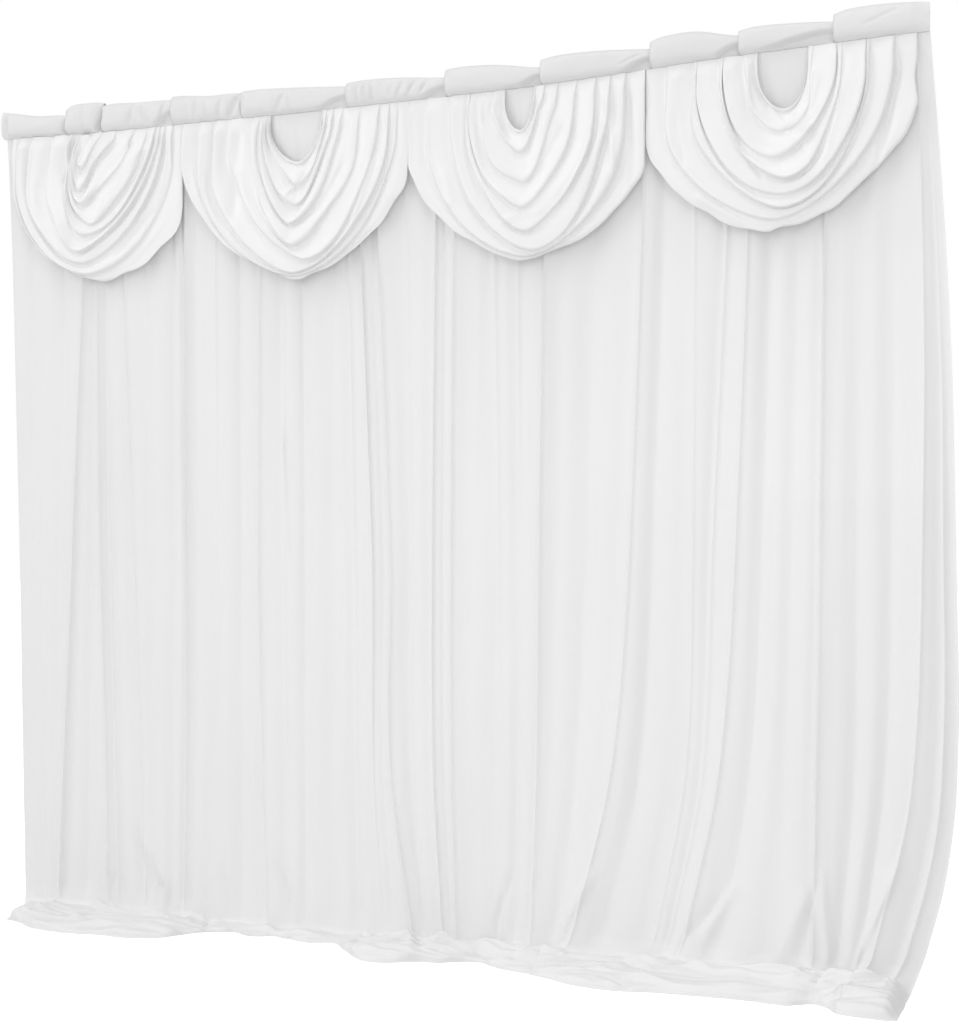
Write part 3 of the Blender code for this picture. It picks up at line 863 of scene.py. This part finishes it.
@dataclass
class HeadingSleeve:
    """The rod sleeve: one open-ended tube of puffed sections that lap over each other."""

    back: float = 0.021
    seam_depth: float = 0.012
    lap: float = 0.007
    seam_slit: float = 0.0006
    column_step: float = 0.0048
    ring_points: int = 56

    def stations(self) -> list:
        """Lay out the sleeve's columns, which lap a little where two sections meet.

        Returns:
            A row for each column: x, top, bulge, tuck and gather.
        """
        starts = [section.start for section in SLEEVE_SECTIONS]
        ends = starts[1:] + [HALF_WIDTH]
        rows = []
        for section, end in zip(SLEEVE_SECTIONS, ends):
            first = section.start - (self.lap if section.start > -HALF_WIDTH else 0.0)
            count = max(round((end - first) / self.column_step), 12)
            t = np.linspace(0, 1, count)
            shoulder = 0.5 * (section.top_start + section.top_middle) + 0.004
            top = smooth_course(((0.0, section.top_start), (0.16, shoulder), (0.5, section.top_middle),
                                 (0.86, section.top_end + 0.004), (1.0, section.top_end)), t)
            full = smooth_course(((0.0, 0.90), (0.05, 1.02), (0.45, 1.0), (0.80, 0.86), (1.0, 0.50)), t)
            left = (1 - t) * (end - first)
            tuck = 1 - smooth_step(0.0, section.tuck, left) if section.tuck else np.zeros(count)
            x = first + t * (end - first)
            rows += list(zip(x, top, section.bulge * full, tuck, np.full(count, section.gather)))
        return rows

    def surface(self) -> np.ndarray:
        """Shape the sleeve.

        Returns:
            Its points, a row for each place round the ring and a column for each station.
        """
        x, top, bulge, tuck, gather = np.array(self.stations()).T
        round_way = np.linspace(0, 1, self.ring_points)[:, None]
        front, rear, up = np.moveaxis(smooth_course(SLEEVE_RING, round_way), -1, 0)
        seam = seam_height(x)
        height = (top - seam)[None, :]
        creased = np.zeros((self.ring_points, len(x)))
        for crease in SLEEVE_TUCKS:
            share = np.clip((up - crease.low) / (crease.high - crease.low), 0, 1)
            line = crease.x_low + (crease.x_high - crease.x_low) * share
            window = smooth_step(crease.low - 0.12, crease.low + 0.1, up)
            window = window * (1 - smooth_step(crease.high - 0.1, crease.high + 0.12, up))
            creased += crease.depth * window * np.exp(-((x - line) / crease.width) ** 2)
        noise = ClothNoise(31)
        fine = noise.at(x / 0.020, up * 1.4) * 0.0030 + noise.at(x / 0.009, up * 2 + 9) * 0.0009
        puff = noise.at(x / 0.09, up * 1.2 + 3) * 0.0022
        lip = 0.55 * tuck
        drawn = smooth_step(0.0, 0.15, tuck) * (1 - smooth_step(lip - 0.06, lip + 0.05, up))
        ahead = front * bulge * (1 - 1.05 * drawn) + front * (gather * fine + puff) - front * creased
        pinch = 0.5 * self.seam_depth
        base = smooth_course(((0.0, -pinch), (0.12, 0.0), (0.90, 0.0), (1.0, pinch)), round_way)
        behind = rear * (self.back + 0.6 * gather * fine + 0.5 * puff)
        y = np.where(round_way < 0.985, base - ahead + behind * smooth_step(0.5, 0.56, round_way), pinch)
        y[0] = -pinch
        y[-1] = -pinch + self.seam_slit
        z = np.maximum(seam + up * height - 0.004 * drawn * (1 - up), seam)
        wide = np.broadcast_to(x, z.shape)
        ring = np.stack((wide, y, z), axis=-1)
        ring[-1] = ring[0] + (0.0, self.seam_slit, 0.0)
        return ring

    def build(self, finish: bpy.types.Material) -> bpy.types.Object:
        cloth = cloth_object("sleeve_cloth", self.surface()[::-1])
        cloth.data.materials.append(finish)
        attach(cloth, "heading_sleeve")
        return cloth


# ---- the swags -----------------------------------------------------------------------------
class SwagFold(NamedTuple):
    """One U of cloth, from its left end at the seam to its right end.

    It falls straight for a little below each end and then turns to its lowest point, like a
    circle's quarter where the round is 2 and nearer a V below that.  The swells are how far it
    stands out at its left, at its lowest and at its right.
    """

    left: float
    right: float
    low_x: float
    low_z: float
    fall_left: float
    fall_right: float
    round_left: float
    round_right: float
    swell_left: float
    swell_low: float
    swell_right: float


# A fold's course on to the next one: share of the way, share of the gap, and share of the swell.
# It rolls over its lower edge, tucks back up behind it and comes forward again.
ROLL = (
    (-0.12, -0.13, 0.94),
    (-0.05, -0.055, 1.00),
    (0.00, 0.000, 1.06),
    (0.06, 0.045, 0.95),
    (0.12, 0.085, 0.70),
    (0.19, 0.105, 0.34),
    (0.27, 0.125, 0.08),
    (0.38, 0.190, -0.04),
    (0.50, 0.300, 0.07),
    (0.63, 0.450, 0.40),
    (0.77, 0.650, 0.70),
    (0.88, 0.820, 0.88),
    (0.95, 0.930, 1.00),
    (1.00, 1.000, 1.06),
    (1.06, 1.045, 0.95),
)
# The open upper edge, turned in behind the first fold, and the turned hem behind the last one.
FACING = ((-0.30, 0.42, -0.50), (-0.20, 0.16, -0.10), (-0.10, -0.06, 0.40), (-0.04, -0.05, 0.84))
HEM = ((1.02, 0.60), (1.015, -0.20), (0.96, -0.80), (0.80, -0.90))


@dataclass
class Swag:
    """One swag: a sheet whose rows are nested U's that roll over each other.

    It is held between its sides, so that it meets its neighbours without crossing them.
    """

    name: str
    folds: tuple
    creases: tuple
    seed: int
    flat: tuple
    sides: tuple
    standoff: float = 0.0042
    belly: float = 0.046
    hem_belly: float = 0.008
    inner_belly: float = 0.010
    fold_depth: float = 0.80
    wander: float = 0.34
    unevenness: float = 0.55
    hem_wave: float = 0.009
    sewn_share: float = 0.25
    sewn_depth: float = 0.050
    rows_per_fold: int = 16
    columns: int = 290

    def courses(self) -> np.ndarray:
        """Lay out the swag's rows, fold after fold.

        Returns:
            A row for each line of the sheet: its place across the folds and share of the swell.
        """
        rows = [(along, out) for _, along, out in FACING]
        count = len(self.folds) - 1
        for i in range(count):
            t = np.arange(self.rows_per_fold) / self.rows_per_fold
            along, out = smooth_course(ROLL, t ** 1.08).T
            rows += list(zip(i + along, out))
        rows.append((float(count), 1.0))
        rows += [(count - 1 + along, out) for along, out in HEM]
        return np.array(rows)

    def lines(self, across: np.ndarray) -> np.ndarray:
        """Read the folds' sizes between one fold and the next.

        Args:
            across: places across the folds, 0 at the first and 1 more at each that follows.

        Returns:
            The eleven sizes at each place, running on straight past the first and the last fold.
        """
        count = len(self.folds) - 1
        table = [[i, *fold] for i, fold in enumerate(self.folds)]
        first, second = np.array(self.folds[0]), np.array(self.folds[1])
        last, ahead = np.array(self.folds[-1]), np.array(self.folds[-2])
        sizes = smooth_course(table, np.clip(across, 0, count))
        sizes += np.minimum(across, 0)[..., None] * (second - first)
        sizes += np.maximum(across - count, 0)[..., None] * (last - ahead)
        return np.moveaxis(sizes, -1, 0)

    def surface(self) -> np.ndarray:
        """Shape the swag.

        Returns:
            Its rows of points, from its upper edge to its hem.
        """
        place, roll = self.courses().T
        place, roll = place[:, None], roll[:, None]
        count = len(self.folds) - 1
        side = np.linspace(-1, 1, self.columns)[None, :]
        away = np.abs(side)
        noise = ClothNoise(self.seed)
        calm = smooth_step(0, 0.8, place) * (1 - smooth_step(count - 0.8, count, place))
        wander = self.wander * noise.at(side * 2.3, place * 0.9 + 0.4)
        wander = wander * calm * smooth_step(1.0, 0.6, away)
        sizes = self.lines(place + wander)
        left, right, low_x, low_z, fall_l, fall_r, round_l, round_r, swell_l, swell_b, swell_r = sizes
        on_left = side < 0
        end = np.where(on_left, left, right)
        fall = np.where(on_left, fall_l, fall_r)
        power = 2 / np.where(on_left, round_l, round_r)
        swell_side = np.where(on_left, swell_l, swell_r)
        seam = seam_height(end) - SEAM_GAP
        length = np.maximum(seam - low_z, 0.01)
        straight = 0.55 * fall / length + 0.04
        turning = away <= 1 - straight
        angle = 0.5 * np.pi * np.clip((1 - away - straight) / (1 - straight), 0, 1)
        angle = np.where(turning, angle, 0.0)
        fallen = np.clip((1 - away) / straight, 0, 1)
        x = low_x + (end - low_x) * np.cos(angle) ** power
        z = np.where(turning, seam - fall + (low_z - seam + fall) * np.sin(angle) ** power,
                     seam - fall * fallen)
        x, z = eased(x, 9), eased(z, 9)
        waved = self.hem_wave * smooth_step(count - 1.0, count, place) * smooth_step(1.0, 0.85, away)
        z = z + waved * noise.at(side * 9.0, 3.3)
        x = x + waved * noise.at(side * 7.0, 8.3)
        x = np.clip(x, *self.sides)
        z = np.minimum(z, seam_height(x) - SEAM_GAP)
        drop = np.maximum(seam - z, 0)
        dropped = np.clip(drop / length, 0, 1)
        share = np.clip(place / count, 0, 1)
        bellies = ((0.0, self.inner_belly), (0.45, self.belly), (1.0, self.hem_belly))
        belly = smooth_course(bellies, share)
        out = belly * np.sin(0.5 * np.pi * dropped) ** 0.8
        swell = swell_side + (swell_b - swell_side) * smooth_step(0.30, 1.35, angle)
        uneven = 1 + self.unevenness * noise.at(side * 2.4 + 5, np.round(place) * 3.7)
        gain = self.sewn_share + (1 - self.sewn_share) * smooth_step(0, self.sewn_depth, drop)
        out = out + self.fold_depth * swell * uneven * gain * roll
        ripple = noise.at(side * 2.6 + 2, place * 2.7) * 0.0026
        ripple = ripple + noise.at(side * 4 + 8, place * 6.1) * 0.0010
        out = out + ripple * smooth_step(0, 0.05, drop)
        out = out + crease_lift(self.creases, x, z)
        out = np.maximum(out, 0.0) + 0.0006 * (roll + 0.9)
        return np.stack((x, -self.standoff - out, z), axis=-1)

    def build(self, finish: bpy.types.Material) -> bpy.types.Object:
        cloth = cloth_object(self.name + "_cloth", self.surface())
        cloth.data.materials.append(finish)
        attach(cloth, self.name)
        return cloth


SWAG_1_FOLDS = rows(SwagFold, (
    # left    right   low_x   low_z   fall_l fall_r round_l round_r  swell_l low  r
    (-1.186, -1.156, -1.172, -0.086, 0.01, 0.01, 1.9, 1.5, .004, .004, .004),
    (-1.196, -1.118, -1.186, -0.200, 0.04, 0.01, 2.0, 1.2, .007, .012, .010),
    (-1.206, -1.066, -1.180, -0.262, 0.06, 0.02, 2.0, 1.2, .008, .014, .014),
    (-1.214, -0.996, -1.162, -0.318, 0.08, 0.02, 2.0, 1.3, .010, .018, .012),
    (-1.222, -0.946, -1.122, -0.388, 0.10, 0.03, 2.0, 1.5, .010, .016, .009),
    (-1.230, -0.912, -1.130, -0.420, 0.12, 0.04, 2.0, 1.6, .024, .012, .012),
    (-1.290, -0.896, -1.168, -0.472, 0.12, 0.04, 1.9, 1.6, .024, .022, .010),
    (-1.376, -0.878, -1.160, -0.506, 0.14, 0.06, 1.8, 1.6, .026, .014, .014),
    (-1.430, -0.850, -1.140, -0.552, 0.16, 0.10, 1.8, 1.7, .020, .014, .010),
    (-1.462, -0.806, -1.098, -0.570, 0.17, 0.27, 1.7, 1.6, .006, .004, .001),
))
SWAG_2_FOLDS = rows(SwagFold, (
    (-0.492, -0.316, -0.390, -0.240, 0.04, 0.04, 1.7, 1.7, .006, .010, .006),
    (-0.500, -0.300, -0.386, -0.300, 0.05, 0.05, 1.5, 1.6, .008, .015, .009),
    (-0.512, -0.278, -0.394, -0.374, 0.06, 0.05, 1.5, 1.6, .010, .017, .012),
    (-0.526, -0.248, -0.404, -0.440, 0.08, 0.05, 1.5, 1.6, .012, .017, .012),
    (-0.546, -0.191, -0.404, -0.500, 0.08, 0.05, 1.6, 1.7, .013, .018, .010),
    (-0.628, -0.124, -0.362, -0.548, 0.10, 0.06, 1.5, 1.7, .018, .018, .012),
    (-0.682, -0.090, -0.396, -0.586, 0.16, 0.10, 1.7, 1.7, .025, .014, .010),
    (-0.738, -0.066, -0.400, -0.595, 0.16, 0.12, 1.7, 1.7, .024, .008, .006),
    (-0.811, -0.020, -0.394, -0.601, 0.13, 0.19, 1.6, 1.6, .014, .004, .001),
))
SWAG_3_FOLDS = rows(SwagFold, (
    (0.285, 0.378, 0.336, -0.205, 0.03, 0.03, 1.9, 1.9, .006, .008, .008),
    (0.256, 0.406, 0.326, -0.258, 0.05, 0.04, 1.8, 1.7, .010, .014, .012),
    (0.214, 0.446, 0.334, -0.345, 0.06, 0.05, 1.7, 1.7, .010, .012, .008),
    (0.180, 0.502, 0.348, -0.440, 0.07, 0.06, 1.7, 1.7, .014, .017, .012),
    (0.172, 0.562, 0.372, -0.508, 0.08, 0.08, 1.7, 1.7, .012, .018, .014),
    (0.124, 0.606, 0.380, -0.566, 0.10, 0.12, 1.7, 1.7, .018, .016, .018),
    (0.044, 0.650, 0.362, -0.580, 0.14, 0.18, 1.7, 1.7, .014, .012, .022),
    (-0.025, 0.716, 0.342, -0.588, 0.17, 0.26, 1.6, 1.6, .014, .004, .014),
))
SWAG_4_FOLDS = rows(SwagFold, (
    (1.034, 1.176, 1.114, -0.216, 0.04, 0.04, 2.0, 2.0, .008, .010, .006),
    (1.004, 1.184, 1.108, -0.268, 0.05, 0.05, 2.0, 2.0, .010, .012, .006),
    (0.942, 1.250, 1.098, -0.340, 0.06, 0.06, 1.9, 1.9, .014, .016, .019),
    (0.934, 1.264, 1.102, -0.414, 0.08, 0.08, 1.8, 1.8, .016, .020, .008),
    (0.868, 1.330, 1.104, -0.454, 0.09, 0.09, 1.8, 1.8, .012, .014, .019),
    (0.860, 1.338, 1.100, -0.492, 0.10, 0.10, 1.8, 1.8, .018, .018, .010),
    (0.784, 1.402, 1.084, -0.524, 0.13, 0.10, 1.8, 1.7, .016, .014, .020),
    (0.712, 1.466, 1.077, -0.550, 0.19, 0.18, 1.7, 1.6, .001, .004, .012),
))
# Slanting ridges and troughs that run across the folds.
SWAG_1_CREASES = rows(Crease, (
    # x      z      x      z     width  height
    (-1.185, -0.300, -1.060, -0.110, 0.016, 0.007),
    (-1.150, -0.330, -0.985, -0.120, 0.018, -0.006),
    (-1.100, -0.370, -0.930, -0.130, 0.014, 0.006),
    (-1.240, -0.250, -1.212, -0.090, 0.012, -0.009),
    (-1.300, -0.350, -1.210, -0.450, 0.016, 0.006),
    (-1.050, -0.500, -0.900, -0.350, 0.016, -0.005),
))
SWAG_2_CREASES = rows(Crease, (
    (-0.420, -0.350, -0.340, -0.220, 0.012, 0.006),
    (-0.600, -0.120, -0.612, -0.420, 0.030, -0.009),
    (-0.320, -0.420, -0.220, -0.250, 0.016, -0.006),
    (-0.200, -0.450, -0.130, -0.250, 0.016, 0.006),
    (-0.660, -0.330, -0.560, -0.500, 0.014, 0.005),
))
SWAG_3_CREASES = rows(Crease, (
    (0.400, -0.350, 0.480, -0.200, 0.014, -0.006),
    (0.280, -0.480, 0.420, -0.455, 0.014, 0.005),
    (0.600, -0.120, 0.630, -0.370, 0.016, 0.008),
    (0.664, -0.120, 0.676, -0.390, 0.012, -0.008),
    (0.100, -0.300, 0.130, -0.420, 0.016, 0.006),
))
SWAG_4_CREASES = rows(Crease, (
    (1.070, -0.200, 1.140, -0.310, 0.014, 0.006),
    (0.980, -0.300, 1.060, -0.420, 0.014, -0.006),
    (1.205, -0.100, 1.170, -0.330, 0.018, 0.008),
    (1.285, -0.120, 1.220, -0.390, 0.016, 0.006),
    (1.425, -0.110, 1.360, -0.400, 0.016, -0.010),
    (0.860, -0.440, 1.000, -0.530, 0.014, 0.006),
    (0.800, -0.200, 0.830, -0.360, 0.014, -0.006),
))


def attach(cloth: bpy.types.Object, node: str) -> None:
    """Let a cloth ride on the body and stand for its solid, whose part is hidden."""
    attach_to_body(cloth, "root")
    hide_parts(node)


# ---- the studio ----------------------------------------------------------------------------
class Softbox(NamedTuple):
    """A square area light: where it hangs, what it points at, its side and its power in watts."""

    name: str
    place: tuple
    aim: tuple
    side: float
    power: float


class Sun(NamedTuple):
    """An even light: how far round to the right and how high it stands, its spread and strength."""

    name: str
    round_way: float
    height: float
    spread: float
    strength: float


@dataclass
class Studio:
    """The camera, the pale floor, the white surroundings and the soft lights.

    The floor and the surroundings look pure white but light the cloth less than that.
    """

    camera_place: tuple = (1.607, -4.127, -1.408)
    camera_turn: float = math.asin(0.3222)
    lens: float = 54.24
    lift: float = 0.024
    floor_colour: str = "#E2E2E2"
    floor_glow: float = 0.62
    surround: float = 0.60
    suns: tuple = (
        Sun("side_light", -58.0, 30.0, 36.0, 0.42),
        Sun("overhead_light", 0.0, 72.0, 50.0, 0.78),
    )
    softboxes: tuple = (
        Softbox("middle_light", (0.0, -3.2, 0.6), (0.0, 0.0, -0.4), 2.2, 2.0),
        Softbox("left_light", (-2.5, -3.0, 0.4), (-1.3, 0.0, -0.6), 1.6, 14.0),
        Softbox("right_light", (2.5, -3.2, 0.5), (1.3, 0.0, -0.4), 1.6, 16.0),
        Softbox("low_light", (0.0, -4.2, -1.7), (0.0, 0.0, -2.2), 2.4, 29.0),
    )

    def place_camera(self) -> None:
        """Set up the camera, level and turned to the left."""
        camera = bpy.data.cameras.new("camera")
        camera.sensor_fit = "HORIZONTAL"
        camera.sensor_width = 36.0
        camera.lens = self.lens
        camera.shift_y = self.lift
        holder = bpy.data.objects.new("camera", camera)
        holder.location = self.camera_place
        holder.rotation_euler = (math.radians(90), 0.0, self.camera_turn)
        bpy.context.scene.collection.objects.link(holder)
        bpy.context.scene.camera = holder

    def light(self) -> None:
        """Hang the softboxes and the suns, and make the surroundings an even white."""
        scene = bpy.context.scene
        for box in self.softboxes:
            light = bpy.data.lights.new(box.name, "AREA")
            light.shape = "SQUARE"
            light.size = box.side
            light.energy = box.power
            holder = bpy.data.objects.new(box.name, light)
            holder.location = box.place
            ray = np.array(box.aim) - np.array(box.place)
            level = math.hypot(ray[0], ray[1])
            holder.rotation_euler = (math.atan2(level, -ray[2]), 0.0, math.atan2(-ray[0], ray[1]))
            scene.collection.objects.link(holder)
        for sun in self.suns:
            light = bpy.data.lights.new(sun.name, "SUN")
            light.energy = sun.strength
            light.angle = math.radians(sun.spread)
            holder = bpy.data.objects.new(sun.name, light)
            holder.rotation_euler = (math.radians(90.0 - sun.height), 0.0, math.radians(sun.round_way))
            scene.collection.objects.link(holder)
        world = bpy.data.worlds.new("white_studio")
        world.use_nodes = True
        tree = world.node_tree
        background = tree.nodes["Background"]
        background.inputs["Color"].default_value = (1.0, 1.0, 1.0, 1.0)
        path = add_node(tree, "ShaderNodeLightPath", {}, {})
        level = add_node(tree, "ShaderNodeMapRange", {"To Min": self.surround, "To Max": 1.0},
                         {"Value": path.outputs["Is Camera Ray"]})
        tree.links.new(level.outputs["Result"], background.inputs["Strength"])
        scene.world = world
        scene.view_settings.view_transform = "Standard"

    def floor(self) -> None:
        """Lay the pale floor."""
        bpy.ops.object.select_all(action="DESELECT")
        bpy.ops.mesh.primitive_plane_add(size=60.0, location=(0.0, 0.0, FLOOR))
        floor = bpy.context.object
        floor.name = "studio_floor"
        bpy.ops.object.transform_apply(location=True, rotation=False, scale=False)
        material = bpy.data.materials.new("matt_floor")
        material.use_nodes = True
        shader = material.node_tree.nodes["Principled BSDF"]
        shader.inputs["Base Color"].default_value = linear(self.floor_colour)
        shader.inputs["Roughness"].default_value = 0.9
        shader.inputs["Emission Color"].default_value = (1.0, 1.0, 1.0, 1.0)
        tree = material.node_tree
        path = add_node(tree, "ShaderNodeLightPath", {}, {})
        glow = add_node(tree, "ShaderNodeMapRange", {"To Min": 0.0, "To Max": self.floor_glow},
                        {"Value": path.outputs["Is Camera Ray"]})
        tree.links.new(glow.outputs["Result"], shader.inputs["Emission Strength"])
        floor.data.materials.append(material)


def main() -> None:
    """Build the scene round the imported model."""
    logging.basicConfig(level=logging.INFO, format="%(name)s: %(message)s")
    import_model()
    studio = Studio()
    studio.place_camera()
    knit = ICE_SILK_KNIT.material()
    satin = DRAPED_SATIN.material()
    pieces = [HeadingSleeve().build(knit), BackdropPanel().build(knit)]
    swags = (
        Swag("swag_1", SWAG_1_FOLDS, SWAG_1_CREASES, seed=41, flat=(0.80, 0.62),
             sides=(-HALF_WIDTH, -0.8090)),
        Swag("swag_2", SWAG_2_FOLDS, SWAG_2_CREASES, seed=42, flat=(0.90, 0.65),
             sides=(-0.8080, -0.0230)),
        Swag("swag_3", SWAG_3_FOLDS, SWAG_3_CREASES, seed=43, flat=(0.88, 0.64),
             sides=(-0.0220, 0.7130)),
        Swag("swag_4", SWAG_4_FOLDS, SWAG_4_CREASES, seed=44, flat=(0.88, 0.62),
             sides=(0.7140, HALF_WIDTH)),
    )
    pieces += [swag.build(satin) for swag in swags]
    for piece in pieces:
        piece.data.calc_loop_triangles()
        LOG.info("%s: %d triangles", piece.name, len(piece.data.loop_triangles))
    studio.floor()
    studio.light()


if __name__ == "__main__":
    main()
